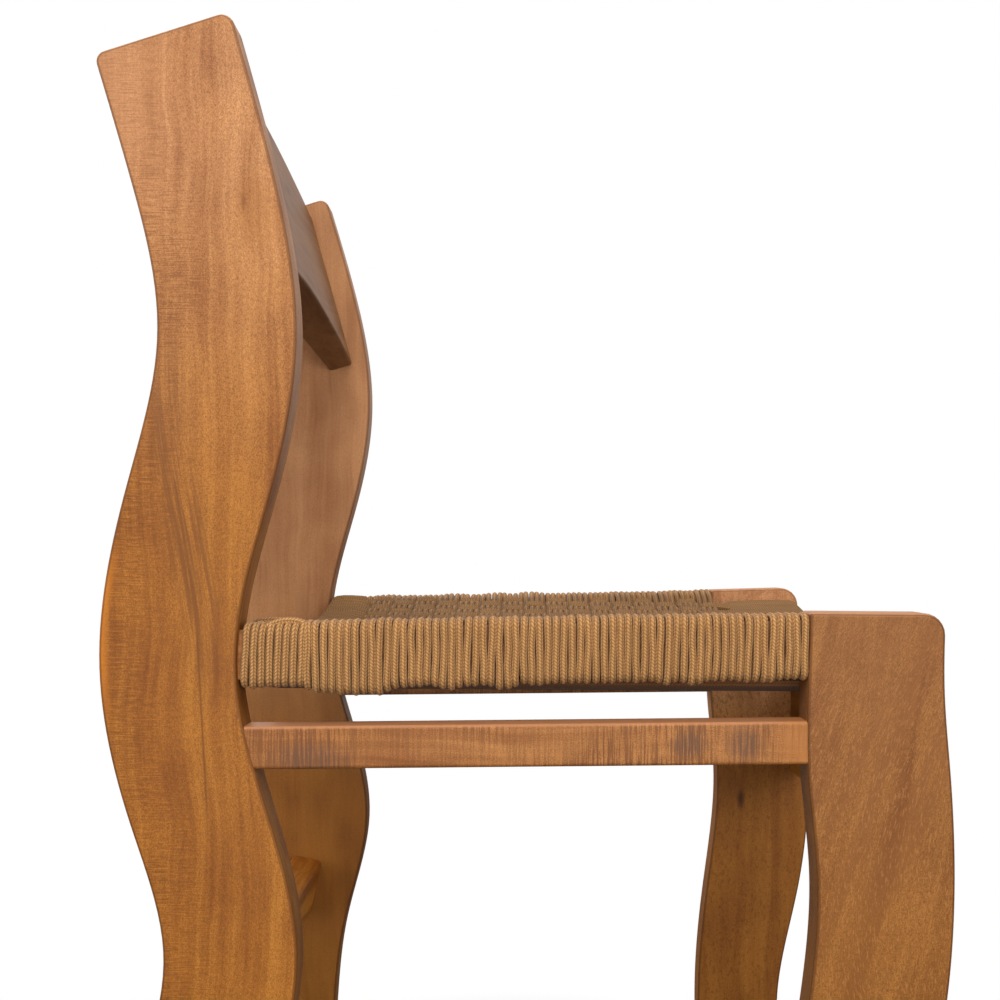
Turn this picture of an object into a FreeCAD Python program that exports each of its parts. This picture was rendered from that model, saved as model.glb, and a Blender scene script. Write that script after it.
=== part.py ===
"""Lamu chair: wavy planks for legs, cord-wrapped seat rails, a woven seat, stretchers and a backrest.

Millimetres, +Z up, +X towards the front, origin on the floor below the chair's middle.
"""
import FreeCAD
import Part
import os

V = FreeCAD.Vector
doc = FreeCAD.newDocument("lamu_chair")
sheet = doc.addObject("Spreadsheet::Sheet", "Sizes")

# Driving dimensions, in millimetres and degrees
SIZES = {
    "chair_width": 450.0,
    "plank_thickness": 27.0,
    # Rear legs, which run on above the seat: the heights where their edges turn, and each edge there
    "rear_low_crest": 30.0,
    "rear_low_bend": 130.0,
    "rear_low_hollow": 228.0,
    "rear_bend": 312.0,
    "rear_crest": 412.0,
    "rear_upper_bend": 525.0,
    "rear_upper_hollow": 620.0,
    "rear_top_bend": 715.0,
    "rear_top_front": 820.0,
    "rear_top_back": 793.0,
    "rear_front_foot": -181.0,
    "rear_front_low_crest": -183.0,
    "rear_front_low_bend": -163.5,
    "rear_front_low_hollow": -145.5,
    "rear_front_bend": -162.1,
    "rear_front_crest": -184.4,
    "rear_front_upper_bend": -161.9,
    "rear_front_upper_hollow": -146.6,
    "rear_front_top_bend": -159.5,
    "rear_front_tip": -188.0,
    "rear_back_foot": -268.6,
    "rear_back_low_crest": -270.4,
    "rear_back_low_bend": -253.3,
    "rear_back_low_hollow": -231.1,
    "rear_back_bend": -252.0,
    "rear_back_crest": -271.1,
    "rear_back_upper_bend": -253.9,
    "rear_back_upper_hollow": -234.0,
    "rear_back_top_bend": -249.9,
    "rear_back_tip": -272.8,
    "rear_top_front_round": 8.0,
    "rear_top_back_round": 6.5,
    # The left rear leg is cut by hand a little fuller below, and lower at the top, than the right one
    "left_front_low_crest": -179.0,
    "left_front_low_bend": -168.5,
    "left_front_low_hollow": -147.8,
    "left_back_low_bend": -259.0,
    "left_back_low_hollow": -238.4,
    "left_back_bend": -258.6,
    "left_top_drop": 6.5,
    # Front legs: the heights where their edges turn, and how far forward each edge lies there
    "seat_height": 450.0,
    "front_upper_turn": 400.0,
    "front_upper_bend": 350.0,
    "front_crest": 280.0,
    "front_lower_bend": 165.0,
    "front_trough": 55.0,
    "front_edge_top": 262.7,
    "front_edge_upper_turn": 263.1,
    "front_edge_upper_bend": 267.7,
    "front_edge_crest": 271.9,
    "front_edge_lower_bend": 263.2,
    "front_edge_trough": 245.3,
    "front_edge_foot": 250.0,
    "back_edge_top": 177.4,
    "back_edge_upper_turn": 176.8,
    "back_edge_upper_bend": 177.5,
    "back_edge_crest": 184.6,
    "back_edge_lower_bend": 176.2,
    "back_edge_trough": 169.5,
    "back_edge_foot": 172.0,
    "front_corner_round": 14.0,
    # The left front leg's top rises a little towards a corner set further back
    "left_corner_rise": 2.8,
    "left_corner_setback": 6.4,
    # Seat rails, and the cord wound on them
    "cord": 5.0,
    "rail_thickness": 17.0,
    "rail_height": 31.5,
    "rail_drop_rear": 14.4,
    "rail_rise": 8.8,
    "rail_housing": 6.0,
    "rear_rail_width": 31.0,
    "front_rail_width": 25.5,
    "front_rail_front": 252.5,
    "front_rail_drop": 13.0,
    "seat_dish": 18.0,
    "wrap_chamfer": 3.5,
    "web_thickness": 11.0,
    "soft_gap": 0.3,
    # Side stretchers
    "stretcher_height": 27.5,
    "stretcher_thickness": 25.0,
    "stretcher_below_rail": 61.1,
    "stretcher_rise": 6.5,
    # Rear stretcher
    "rear_stretcher_height": 50.0,
    "rear_stretcher_thickness": 27.0,
    "rear_stretcher_middle": -209.0,
    "rear_stretcher_level": 167.0,
    "rear_stretcher_tilt": 11.0,
    # Front stretcher, a thin board on edge
    "front_stretcher_thickness": 14.0,
    "front_stretcher_back": 253.0,
    "front_stretcher_below_rail": 65.0,
    "front_stretcher_height": 92.0,
    # Backrest, from the middle of its lower edge
    "backrest_middle": -173.2,
    "backrest_bottom": 655.2,
    "backrest_height": 142.6,
    "backrest_tilt": -15.9,
    "backrest_hollow": 3.0,
    "backrest_thickness": 36.0,
    "backrest_end_thickness": 22.5,
    "backrest_bottom_arch": 43.0,
    "backrest_top_arch": 42.0,
    # Tenons
    "tenon_length": 30.0,
    "tenon_height": 20.0,
    "tenon_thickness": 9.0,
    "cross_tenon_length": 18.0,
    "rear_rail_tenon_length": 10.0,
    "wide_tenon_height": 60.0,
    "wide_tenon_thickness": 8.0,
}
for row, (name, value) in enumerate(SIZES.items(), start=1):
    sheet.set(f"A{row}", name)
    sheet.set(f"B{row}", str(value))
    sheet.setAlias(f"B{row}", name)
doc.recompute()


def size(name):
    """A driving dimension, as the sheet holds it."""
    return float(sheet.get(name))


# Places and lines that several pieces share; the rails hang from the seat's height
RAIL_TOP_REAR = size("seat_height") - size("rail_drop_rear")
FRONT_RAIL_TOP = size("seat_height") - size("front_rail_drop")
SIDES = {"right": -1, "left": 1}
HALF_WIDTH = size("chair_width") / 2
INNER_FACE = HALF_WIDTH - size("plank_thickness")
PLANK_MIDDLE = HALF_WIDTH - size("plank_thickness") / 2
RAIL_MIDDLE = HALF_WIDTH - size("cord") - size("rail_thickness") / 2
RAIL_INNER = RAIL_MIDDLE - size("rail_thickness") / 2


def bind(thing, prop, name):
    """Ties a property to a cell of the sheet."""
    thing.setExpression(prop, "Sizes." + name)


# Sketch and feature helpers
def line(start, end):
    return Part.LineSegment(V(*start, 0), V(*end, 0))


def outline(corners):
    return [line(a, b) for a, b in zip(corners, corners[1:] + corners[:1])]


def arc(start, middle, end):
    return Part.Arc(V(*start, 0), V(*middle, 0), V(*end, 0))


def spline(points):
    curve = Part.BSplineCurve()
    curve.interpolate([V(*point, 0) for point in points])
    return curve


def rear_edge(name, side):
    """The points of a rear leg's front or back edge, from the floor to the slanted top."""
    turns = ["low_crest", "low_bend", "low_hollow", "bend",
             "crest", "upper_bend", "upper_hollow", "top_bend"]
    points = [(size(f"rear_{name}_foot"), 0)]
    for turn in turns:
        own = f"left_{name}_{turn}"
        place = own if side == "left" and own in SIZES else f"rear_{name}_{turn}"
        points.append((size(place), size("rear_" + turn)))
    drop = size("left_top_drop") if side == "left" else 0
    return points + [(size(f"rear_{name}_tip"), size("rear_top_" + name) - drop)]


def edge_place(edge, height):
    """How far forward a curved edge lies at a height."""
    reach = size("chair_width")
    return edge.intersectCC(line((-reach, height), (reach, height)))[0].X


WRAP_TOP = RAIL_TOP_REAR + size("cord")
RAIL_REAR = edge_place(spline(rear_edge("front", "right")), WRAP_TOP) + size("soft_gap")
RAIL_FRONT = size("back_edge_upper_turn")
WRAP_FRONT = RAIL_FRONT - size("soft_gap")


def along_run(at_rear, rise, place):
    """Height at a place on a straight line that rises from the rear leg to the front leg."""
    return at_rear + rise * (place - RAIL_REAR) / (RAIL_FRONT - RAIL_REAR)


def dished(half_length, top, bottom, dish):
    """A board's elevation whose top and bottom both dip by a dish at the middle."""
    return [
        arc((-half_length, top), (0, top - dish), (half_length, top)),
        line((half_length, top), (half_length, bottom)),
        arc((half_length, bottom), (0, bottom - dish), (-half_length, bottom)),
        line((-half_length, bottom), (-half_length, top)),
    ]


def padded_body(label, role, geometry, length):
    """A body with one sketch on an origin plane and a pad to both sides of it."""
    body = doc.addObject("PartDesign::Body", label + "_body")
    sketch = body.newObject("Sketcher::SketchObject", label + "_outline")
    plane = next(f for f in body.Origin.OriginFeatures if f.Role == role)
    sketch.AttachmentSupport = [(plane, "")]
    sketch.MapMode = "FlatFace"
    for piece in geometry:
        sketch.addGeometry(piece, False)
    pad = body.newObject("PartDesign::Pad", label + "_pad")
    pad.Profile = sketch
    pad.Midplane = True
    pad.setExpression("Length", length)
    body.Tip = pad
    doc.recompute()
    return body


def dress_edges(body, chosen, kind, prop, name):
    """Rounds or chamfers the edges of a body that a test picks."""
    base = body.Tip
    names = [f"Edge{i}" for i, edge in enumerate(base.Shape.Edges, start=1) if chosen(edge)]
    dressed = body.newObject("PartDesign::" + kind, f"{body.Name}_{kind.lower()}_{len(body.Group)}")
    dressed.Base = (base, names)
    bind(dressed, prop, name)
    body.Tip = dressed
    doc.recompute()


def round_corner(body, corner, radius):
    """Rounds a plank's edge at a corner of its outline."""
    place = V(corner[0], 0, corner[1])
    dress_edges(body, lambda edge: edge.CenterOfMass.distanceToPoint(place) < size("cord") / 2,
                "Fillet", "Radius", radius)


def block(label, middle, sides):
    """A block about a point, its three sides tied to cells."""
    box = doc.addObject("Part::Box", label)
    for prop, name in zip(("Length", "Width", "Height"), sides):
        box.setExpression(prop, name)
    doc.recompute()
    half = V(box.Length.Value, box.Width.Value, box.Height.Value) / 2
    box.Placement.Base = V(*middle) - half
    return box


def lean(thing, pivot, degrees):
    """Leans a block or body about the line across the chair through its pivot."""
    turn = FreeCAD.Rotation(V(0, 1, 0), degrees)
    thing.Placement = FreeCAD.Placement(V(0, 0, 0), turn, V(*pivot)).multiply(thing.Placement)


def fused(label, shapes):
    whole = doc.addObject("Part::MultiFuse", label)
    whole.Shapes = shapes
    whole.Label = label
    return whole


def cut(label, base, tools):
    """The base, with the room of every tool taken out of it."""
    whole = doc.addObject("Part::Cut", label)
    whole.Base = base
    whole.Tool = tools[0] if len(tools) == 1 else fused(label + "_room", tools)
    whole.Label = label
    return whole


def cross_tenons(label, place, reach, thickness, height):
    """Tenons at both ends of a piece across the chair; reach is (shoulder, length's cell)."""
    shoulder, length = reach
    blocks = []
    for side, sign in SIDES.items():
        middle = (place[0], sign * (shoulder + size(length) / 2), place[1])
        cells = ["Sizes." + thickness, "Sizes." + length, "Sizes." + height]
        blocks.append(block(f"{label}_{side}_tenon", middle, cells))
    return blocks


def run_piece(label, side, across, at_rear, rise, height, thickness):
    """A rail or stretcher from rear leg to front leg, let into both and tenoned on."""
    housing = size("rail_housing")
    ends = (RAIL_REAR - housing, RAIL_FRONT + housing)
    tops = [along_run(at_rear, rise, end) for end in ends]
    corners = [(ends[0], tops[0]), (ends[1], tops[1]),
               (ends[1], tops[1] - size(height)), (ends[0], tops[0] - size(height))]
    name = f"{label}_{side}"
    body = padded_body(name, "XZ_Plane", outline(corners), "Sizes." + thickness)
    body.Placement.Base = V(0, SIDES[side] * across, 0)
    shapes = [body]
    for end, top, forward in zip(ends, tops, (-1, 1)):
        reach = size("tenon_length") - housing
        middle = (end + forward * reach / 2, SIDES[side] * across, top - size(height) / 2)
        cells = ["Sizes.tenon_length - Sizes.rail_housing", "Sizes.tenon_thickness", "Sizes.tenon_height"]
        shapes.append(block(f"{name}_tenon_{len(shapes)}", middle, cells))
    return shapes


# Cross pieces: each spans the planks' inner faces and has a tenon in each plank
SPAN = "Sizes.chair_width - 2 * Sizes.plank_thickness"


def make_rear_stretcher():
    half = size("rear_stretcher_height") / 2
    deep = size("rear_stretcher_thickness") / 2
    section = outline([(-deep, -half), (deep, -half), (deep, half), (-deep, half)])
    body = padded_body("rear_stretcher", "XZ_Plane", section, SPAN)
    tenons = cross_tenons("rear_stretcher", (0, 0), (INNER_FACE, "cross_tenon_length"),
                          "tenon_thickness", "tenon_height")
    pivot = V(size("rear_stretcher_middle"), 0, size("rear_stretcher_level"))
    for thing in [body] + tenons:
        thing.Placement.Base = thing.Placement.Base + pivot
        lean(thing, pivot, size("rear_stretcher_tilt"))
    return fused("rear_stretcher", [body] + tenons)


def make_front_stretcher():
    back = size("front_stretcher_back")
    front = back + size("front_stretcher_thickness")
    top = FRONT_RAIL_TOP - size("front_stretcher_below_rail")
    bottom = top - size("front_stretcher_height")
    section = outline([(back, bottom), (front, bottom), (front, top), (back, top)])
    body = padded_body("front_stretcher", "XZ_Plane", section, SPAN)
    tenons = cross_tenons("front_stretcher", ((back + front) / 2, (bottom + top) / 2),
                          (INNER_FACE, "cross_tenon_length"), "wide_tenon_thickness", "wide_tenon_height")
    return fused("front_stretcher", [body] + tenons)


def make_backrest():
    """A board hollowed in front and fuller behind, whose upper and lower edges arch upwards."""
    front = size("backrest_end_thickness") / 2
    front_middle = front - size("backrest_hollow")
    back_middle = front_middle - size("backrest_thickness")
    plan = [
        arc((front, -INNER_FACE), (front_middle, 0), (front, INNER_FACE)),
        line((front, INNER_FACE), (-front, INNER_FACE)),
        arc((-front, INNER_FACE), (back_middle, 0), (-front, -INNER_FACE)),
        line((-front, -INNER_FACE), (front, -INNER_FACE)),
    ]
    tall = "Sizes.backrest_height * 4"
    plan_body = padded_body("backrest_plan", "XY_Plane", plan, tall)
    top = size("backrest_height")
    elevation = [
        arc((-INNER_FACE, top), (0, top + size("backrest_top_arch")), (INNER_FACE, top)),
        line((INNER_FACE, top), (INNER_FACE, 0)),
        arc((INNER_FACE, 0), (0, size("backrest_bottom_arch")), (-INNER_FACE, 0)),
        line((-INNER_FACE, 0), (-INNER_FACE, top)),
    ]
    face_body = padded_body("backrest_face", "YZ_Plane", elevation, "Sizes.backrest_thickness * 4")
    board = doc.addObject("Part::Common", "backrest_board")
    tenons = cross_tenons("backrest", (0, top / 2), (INNER_FACE, "cross_tenon_length"),
                          "wide_tenon_thickness", "wide_tenon_height")
    pivot = V(size("backrest_middle"), 0, size("backrest_bottom"))
    for thing in [plan_body, face_body] + tenons:
        thing.Placement.Base = thing.Placement.Base + pivot
        lean(thing, pivot, size("backrest_tilt"))
    board.Base = plan_body
    board.Tool = face_body
    return fused("backrest", [board] + tenons)


# Seat: dished front and rear rails, straight side rails, and the cord on them
def cross_rail(label, middle, top, width, half_length, tenon_length):
    """A dished rail across the chair with its two tenons."""
    shape = dished(half_length, top, top - size("rail_height"), size("seat_dish"))
    body = padded_body(label, "YZ_Plane", shape, "Sizes." + width)
    body.Placement.Base = V(middle, 0, 0)
    tenons = cross_tenons(label, (middle, top - size("rail_height") / 2), (half_length, tenon_length),
                          "tenon_thickness", "tenon_height")
    return fused(label, [body] + tenons)


def is_long(edge):
    """Picks a wrap's long edges."""
    return edge.Length > size("rail_height") * 2


def cross_wrap(label, middle, top, width, rail):
    """The cord wound on a cross rail, as one sleeve with chamfered edges."""
    cord = size("cord")
    shape = dished(INNER_FACE - size("soft_gap"), top + cord, top - size("rail_height") - cord,
                   size("seat_dish"))
    body = padded_body(label, "YZ_Plane", shape, f"Sizes.{width} + 2 * Sizes.cord")
    body.Placement.Base = V(middle, 0, 0)
    dress_edges(body, is_long, "Chamfer", "Size", "wrap_chamfer")
    return cut(label, body, [rail])


def side_wrap(side, rail, rear_rail):
    """The cord wound on a side rail, as one sleeve between the two legs."""
    cord = size("cord")
    ends = (RAIL_REAR, WRAP_FRONT)
    tops = [along_run(RAIL_TOP_REAR, size("rail_rise"), end) + cord for end in ends]
    deep = size("rail_height") + 2 * cord
    corners = [(ends[0], tops[0]), (ends[1], tops[1]), (ends[1], tops[1] - deep), (ends[0], tops[0] - deep)]
    label = f"cord_wrap_{side}"
    body = padded_body(label, "XZ_Plane", outline(corners), "Sizes.rail_thickness + 2 * Sizes.cord")
    body.Placement.Base = V(0, SIDES[side] * RAIL_MIDDLE, 0)
    dress_edges(body, is_long, "Chamfer", "Size", "wrap_chamfer")
    return cut(label, body, [rail, rear_rail])


REAR_WRAP_WIDTH = size("rear_rail_width") + 2 * size("cord")
FRONT_WRAP_WIDTH = size("front_rail_width") + 2 * size("cord")
REAR_RAIL_X = RAIL_REAR + REAR_WRAP_WIDTH / 2
FRONT_RAIL_X = size("front_rail_front") - size("front_rail_width") / 2
REAR_RAIL_TOP = along_run(RAIL_TOP_REAR, size("rail_rise"), REAR_RAIL_X)


def make_web():
    """The woven cord between the rails, which sags from side to side."""
    sections = []
    half = INNER_FACE - size("soft_gap")
    places = ((REAR_RAIL_X + REAR_WRAP_WIDTH / 2 + size("soft_gap"), REAR_RAIL_TOP),
              (FRONT_RAIL_X - FRONT_WRAP_WIDTH / 2 - size("soft_gap"), FRONT_RAIL_TOP))
    for number, (place, rail_top) in enumerate(places):
        sketch = doc.addObject("Sketcher::SketchObject", f"web_section_{number}")
        turn = FreeCAD.Rotation(V(0, 1, 0), V(0, 0, 1), V(1, 0, 0), "XYZ")
        sketch.Placement = FreeCAD.Placement(V(place, 0, 0), turn)
        top = rail_top + size("cord")
        for piece in dished(half, top, top - size("web_thickness"), size("seat_dish")):
            sketch.addGeometry(piece, False)
        sections.append(sketch)
    web = doc.addObject("Part::Loft", "woven_seat")
    web.Sections = sections
    web.Solid = True
    web.Ruled = True
    web.Label = "woven_seat"
    return web


# Legs
def make_rear_leg(side, fitted):
    """A plank whose edges wave in step up to a slanted top with two rounded corners."""
    front, back = rear_edge("front", side), rear_edge("back", side)
    shape = [spline(front), line(front[-1], back[-1]), spline(back), line(back[0], front[0])]
    label = f"rear_leg_{side}"
    body = padded_body(label, "XZ_Plane", shape, "Sizes.plank_thickness")
    round_corner(body, front[-1], "rear_top_front_round")
    round_corner(body, back[-1], "rear_top_back_round")
    body.Placement.Base = V(0, SIDES[side] * PLANK_MIDDLE, 0)
    return cut(label, body, fitted)


def make_front_leg(side, fitted):
    """A plank whose edges turn at the same heights, with a flat top and a round front corner."""
    turns = [("foot", 0), ("trough", size("front_trough")), ("lower_bend", size("front_lower_bend")),
             ("crest", size("front_crest")), ("upper_bend", size("front_upper_bend")),
             ("upper_turn", size("front_upper_turn")), ("top", size("seat_height"))]
    front = [(size("front_edge_" + name), height) for name, height in turns]
    back = [(size("back_edge_" + name), height) for name, height in turns]
    if side == "left":
        place, top = front[-1]
        front[-1] = (place - size("left_corner_setback"), top + size("left_corner_rise"))
    shape = [spline(front), line(front[-1], back[-1]), spline(back), line(back[0], front[0])]
    label = f"front_leg_{side}"
    body = padded_body(label, "XZ_Plane", shape, "Sizes.plank_thickness")
    round_corner(body, front[-1], "front_corner_round")
    body.Placement.Base = V(0, SIDES[side] * PLANK_MIDDLE, 0)
    return cut(label, body, fitted)


# The whole chair
rear_stretcher = make_rear_stretcher()
front_stretcher = make_front_stretcher()
backrest = make_backrest()
rear_rail = cross_rail("rear_rail", REAR_RAIL_X, REAR_RAIL_TOP, "rear_rail_width", RAIL_INNER,
                       "rear_rail_tenon_length")
front_rail = cross_rail("front_rail", FRONT_RAIL_X, FRONT_RAIL_TOP, "front_rail_width", INNER_FACE,
                        "cross_tenon_length")
nodes = [rear_stretcher, front_stretcher, backrest, rear_rail, front_rail, make_web()]
nodes.append(cross_wrap("cord_wrap_rear", REAR_RAIL_X, REAR_RAIL_TOP, "rear_rail_width", rear_rail))
nodes.append(cross_wrap("cord_wrap_front", FRONT_RAIL_X, FRONT_RAIL_TOP, "front_rail_width", front_rail))
for side in SIDES:
    rail_shapes = run_piece("side_rail", side, RAIL_MIDDLE, RAIL_TOP_REAR, size("rail_rise"),
                            "rail_height", "rail_thickness")
    rail = cut(f"side_rail_{side}", fused(f"side_rail_{side}_whole", rail_shapes), [rear_rail])
    stretcher_top = RAIL_TOP_REAR - size("stretcher_below_rail")
    stretcher = fused(f"side_stretcher_{side}",
                      run_piece("side_stretcher", side, PLANK_MIDDLE, stretcher_top,
                                size("stretcher_rise"), "stretcher_height", "stretcher_thickness"))
    nodes += [rail, stretcher, side_wrap(side, rail, rear_rail)]
    nodes.append(make_rear_leg(side, [rail, stretcher, rear_stretcher, backrest]))
    nodes.append(make_front_leg(side, [rail, stretcher, front_stretcher, front_rail]))
doc.recompute()

# Checks and export
faults = [o.Name for o in doc.Objects if "Invalid" in o.State or "Error" in o.State]
for node in nodes:
    if node.Shape.isNull() or not node.Shape.isValid() or not node.Shape.Solids:
        faults.append(node.Label)
if faults:
    raise RuntimeError("not sound: " + ", ".join(faults))
os.makedirs("parts", exist_ok=True)
for node in nodes:
    node.Shape.exportStep(f"parts/{node.Label}.step")
    box = node.Shape.BoundBox
    print(f"{node.Label}: {len(node.Shape.Solids)} solid, {node.Shape.Volume / 1000:.1f} cm3, "
          f"x {box.XMin:.1f}..{box.XMax:.1f} y {box.YMin:.1f}..{box.YMax:.1f} "
          f"z {box.ZMin:.1f}..{box.ZMax:.1f}")
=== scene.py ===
import bpy
from math import atan2, cos, pi, radians, sin
from mathutils import Matrix, Vector, noise


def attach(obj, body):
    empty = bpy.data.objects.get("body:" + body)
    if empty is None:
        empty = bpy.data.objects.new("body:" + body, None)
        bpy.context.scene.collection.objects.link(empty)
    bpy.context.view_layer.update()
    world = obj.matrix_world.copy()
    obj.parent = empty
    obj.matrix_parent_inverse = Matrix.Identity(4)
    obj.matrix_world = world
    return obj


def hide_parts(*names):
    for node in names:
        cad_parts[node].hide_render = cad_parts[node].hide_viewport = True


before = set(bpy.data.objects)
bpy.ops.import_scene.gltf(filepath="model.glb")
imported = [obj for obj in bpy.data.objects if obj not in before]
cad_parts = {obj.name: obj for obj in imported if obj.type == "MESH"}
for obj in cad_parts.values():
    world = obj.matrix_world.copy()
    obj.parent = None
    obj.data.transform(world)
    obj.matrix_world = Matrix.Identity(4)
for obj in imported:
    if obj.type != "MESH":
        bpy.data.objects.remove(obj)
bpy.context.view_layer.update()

# Sizes of the frame, in metres
HALF_WIDTH = 0.225
PLANK = 0.027
INNER = HALF_WIDTH - PLANK
SEAT_HEIGHT = 0.45

# Rear legs: the heights where their edges turn, how far forward each edge lies there, and the
# (height, forward) corners of the slanted top and their rounds, in front and behind
REAR_TURNS = (0, 0.03, 0.13, 0.228, 0.312, 0.412, 0.525, 0.62, 0.715)
REAR_FRONT = (-0.181, -0.183, -0.1635, -0.1455, -0.1621, -0.1844, -0.1619, -0.1466, -0.1595)
REAR_BACK = (-0.2686, -0.2704, -0.2533, -0.2311, -0.252, -0.2711, -0.2539, -0.234, -0.2499)
LEFT_REAR_FRONT = (-0.181, -0.179, -0.1685, -0.1478) + REAR_FRONT[4:]
LEFT_REAR_BACK = (-0.2686, -0.2704, -0.259, -0.2384, -0.2586) + REAR_BACK[5:]
REAR_TIPS = {"right": ((0.82, -0.188), (0.793, -0.2728)),
             "left": ((0.8135, -0.188), (0.7865, -0.2728))}
REAR_TIP_ROUNDS = (0.008, 0.0065)

# Front legs, in the same way, and the left one's higher front corner
FRONT_TURNS = (0, 0.055, 0.165, 0.28, 0.35, 0.4, SEAT_HEIGHT)
FRONT_EDGE = (0.25, 0.2453, 0.2632, 0.2719, 0.2677, 0.2631, 0.2627)
BACK_EDGE = (0.172, 0.1695, 0.1762, 0.1846, 0.1775, 0.1768, 0.1774)
FRONT_TIP_ROUNDS = (0.014, 0)
LEFT_FRONT_CORNER = (0.4528, 0.2563)

# The seat cord. Its way is laid for a half thickness of RADIUS. Its mesh is a little thicker, since
# neighbouring turns press into each other.
CORD = 0.005
RADIUS = 0.00245
PRESSED_RADIUS = 0.00256

# Side rails: their run between the planks, where the cord on them begins and ends, and the height
# of their top at the rear and its rise
RAIL_OUTER = HALF_WIDTH - CORD
RAIL_INNER = RAIL_OUTER - 0.017
RAIL_HEIGHT = 0.0315
RUN_REAR = -0.1822
RUN_FRONT = 0.1768
CORD_REAR = -0.1828
CORD_FRONT = 0.1772
RAIL_TOP_REAR = 0.4356
RAIL_RISE = 0.0088

# Rear and front rail: from behind to the front, the height of their ends' tops, and their dip
REAR_RAIL = (-0.1772, -0.1462)
REAR_RAIL_TOP = 0.4361
FRONT_RAIL = (0.227, 0.2525)
FRONT_RAIL_TOP = 0.437
SEAT_DISH = 0.018

# Turns over the side rails, how many of them go round one rail alone, and how many lie together in
# the weave. The cross turns go over the rear and front rails.
SIDE_TURNS = 71
SHORT_TURNS = 8
SIDE_GROUP = 4
CROSS_TURNS = 72
CROSS_GROUP = 3
SIDE_PITCH = (CORD_FRONT - CORD_REAR) / SIDE_TURNS
CROSS_CLEAR = 0.0005
CROSS_PITCH = (2 * INNER - 2 * CROSS_CLEAR) / CROSS_TURNS
FIRST_WOVEN = CORD_REAR + SHORT_TURNS * SIDE_PITCH

# The wood's tones, shared by every piece: the oiled body, the dark of its knots, and the paler,
# greyer skin where it is handled and rubbed, which also stands for a painted sheen of light
WARM_WOOD = (146, 91, 33)
DEEP_WOOD = (88, 48, 20)
WORN_SHEEN_WOOD = (168, 118, 82)

# Where the wood is worn and given a painted sheen, lighter towards the top: the heights between
# which this grows, and its most
NO_WEAR_SHEEN = (0, 0.1, 0)
STRETCHER_WEAR_SHEEN = (0, 0.1, 0.4)
BACK_WEAR_SHEEN = (0, 0.1, 0.9)

# The cord's tones, its own on the stitches and the painted shade between them, the length of a
# stitch and the columns of stitches round the cord
CORD_LIGHT = (197, 148, 92)
CORD_SHADE = (80, 46, 18)
STITCH = 0.0021
COLUMNS = 6

WHITE = (1, 1, 1, 1)


# Modelling helpers
ARRIS_STEPS = 3
CORNER_STEPS = 6
SAME_PLACE = 1e-6
AT_CORNER = 1e-4


def mode(name):
    bpy.ops.object.mode_set(mode=name)


def pull(way):
    """Extrudes the whole mesh of the new piece, and leaves the pulled side selected."""
    mode("EDIT")
    bpy.ops.mesh.select_mode(type="VERT")
    bpy.ops.mesh.select_all(action="SELECT")
    bpy.ops.mesh.extrude_region_move(TRANSFORM_OT_translate={"value": way})
    mode("OBJECT")


def outwards(piece):
    """Merges doubles and turns every face outwards."""
    bpy.context.view_layer.objects.active = piece
    mode("EDIT")
    bpy.ops.mesh.select_all(action="SELECT")
    bpy.ops.mesh.remove_doubles(threshold=SAME_PLACE)
    bpy.ops.mesh.normals_make_consistent(inside=False)
    mode("OBJECT")


def round_edge(piece, line_end, radius):
    """Rounds the edge across a plank at the (height, forward) end of one of its lines."""
    end = Vector((line_end[1], 0, line_end[0]))
    mode("EDIT")
    bpy.ops.mesh.select_mode(type="EDGE")
    bpy.ops.mesh.select_all(action="DESELECT")
    mode("OBJECT")
    near = [(Vector((point.co.x, 0, point.co.z)) - end).length < AT_CORNER
            for point in piece.data.vertices]
    for edge in piece.data.edges:
        edge.select = all(near[i] for i in edge.vertices)
    mode("EDIT")
    bpy.ops.mesh.bevel(offset=radius, segments=CORNER_STEPS, affect="EDGES")
    mode("OBJECT")


def soften(piece, width, angle=35):
    """Rounds the sharp edges of a finished shape, and shades it as one smooth surface."""
    bevel = piece.modifiers.new("arris", "BEVEL")
    bevel.width = width
    bevel.segments = ARRIS_STEPS
    bevel.limit_method = "ANGLE"
    bevel.angle_limit = radians(angle)
    bpy.ops.object.modifier_apply(modifier=bevel.name)
    bpy.ops.object.shade_smooth()
    weighted = piece.modifiers.new("flat_faces", "WEIGHTED_NORMAL")
    weighted.keep_sharp = True
    weighted.weight = 100
    bpy.ops.object.modifier_apply(modifier=weighted.name)


def smooth_line(points):
    """The place on an even bend through (height, place) points, as a function of height."""
    heights = [point[0] for point in points]
    places = [point[1] for point in points]
    last = len(points) - 1
    gaps = [heights[i + 1] - heights[i] for i in range(last)]
    slopes = [(places[i + 1] - places[i]) / gaps[i] for i in range(last)]
    bends = [0] * (last + 1)
    shares = [0] * (last + 1)
    for i in range(1, last):
        whole = 2 * (gaps[i - 1] + gaps[i]) - gaps[i - 1] * shares[i - 1]
        shares[i] = gaps[i] / whole
        bends[i] = (6 * (slopes[i] - slopes[i - 1]) - gaps[i - 1] * bends[i - 1]) / whole
    for i in range(last - 1, 0, -1):
        bends[i] -= shares[i] * bends[i + 1]

    def place(height):
        i = max(0, min(last - 1, sum(1 for mark in heights[1:] if mark < height)))
        ahead, behind = heights[i + 1] - height, height - heights[i]
        gap = gaps[i]
        return ((bends[i] * ahead ** 3 + bends[i + 1] * behind ** 3) / (6 * gap)
                + (places[i] / gap - bends[i] * gap / 6) * ahead
                + (places[i + 1] / gap - bends[i + 1] * gap / 6) * behind)
    return place


def dress(piece, material):
    piece.data.materials.clear()
    piece.data.materials.append(material)


def add(name, data):
    """Puts a new object into the scene."""
    thing = bpy.data.objects.new(name, data)
    bpy.context.scene.collection.objects.link(thing)
    return thing


def finish_piece(piece, name, slot, material, *nodes):
    """Names a new piece, gives it its material, hangs it under the root and hides the pieces of the
    frame it stands for.
    """
    piece.name = name
    piece.data.name = name
    dress(piece, material)
    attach(piece, "root")
    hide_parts(*nodes)


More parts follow.
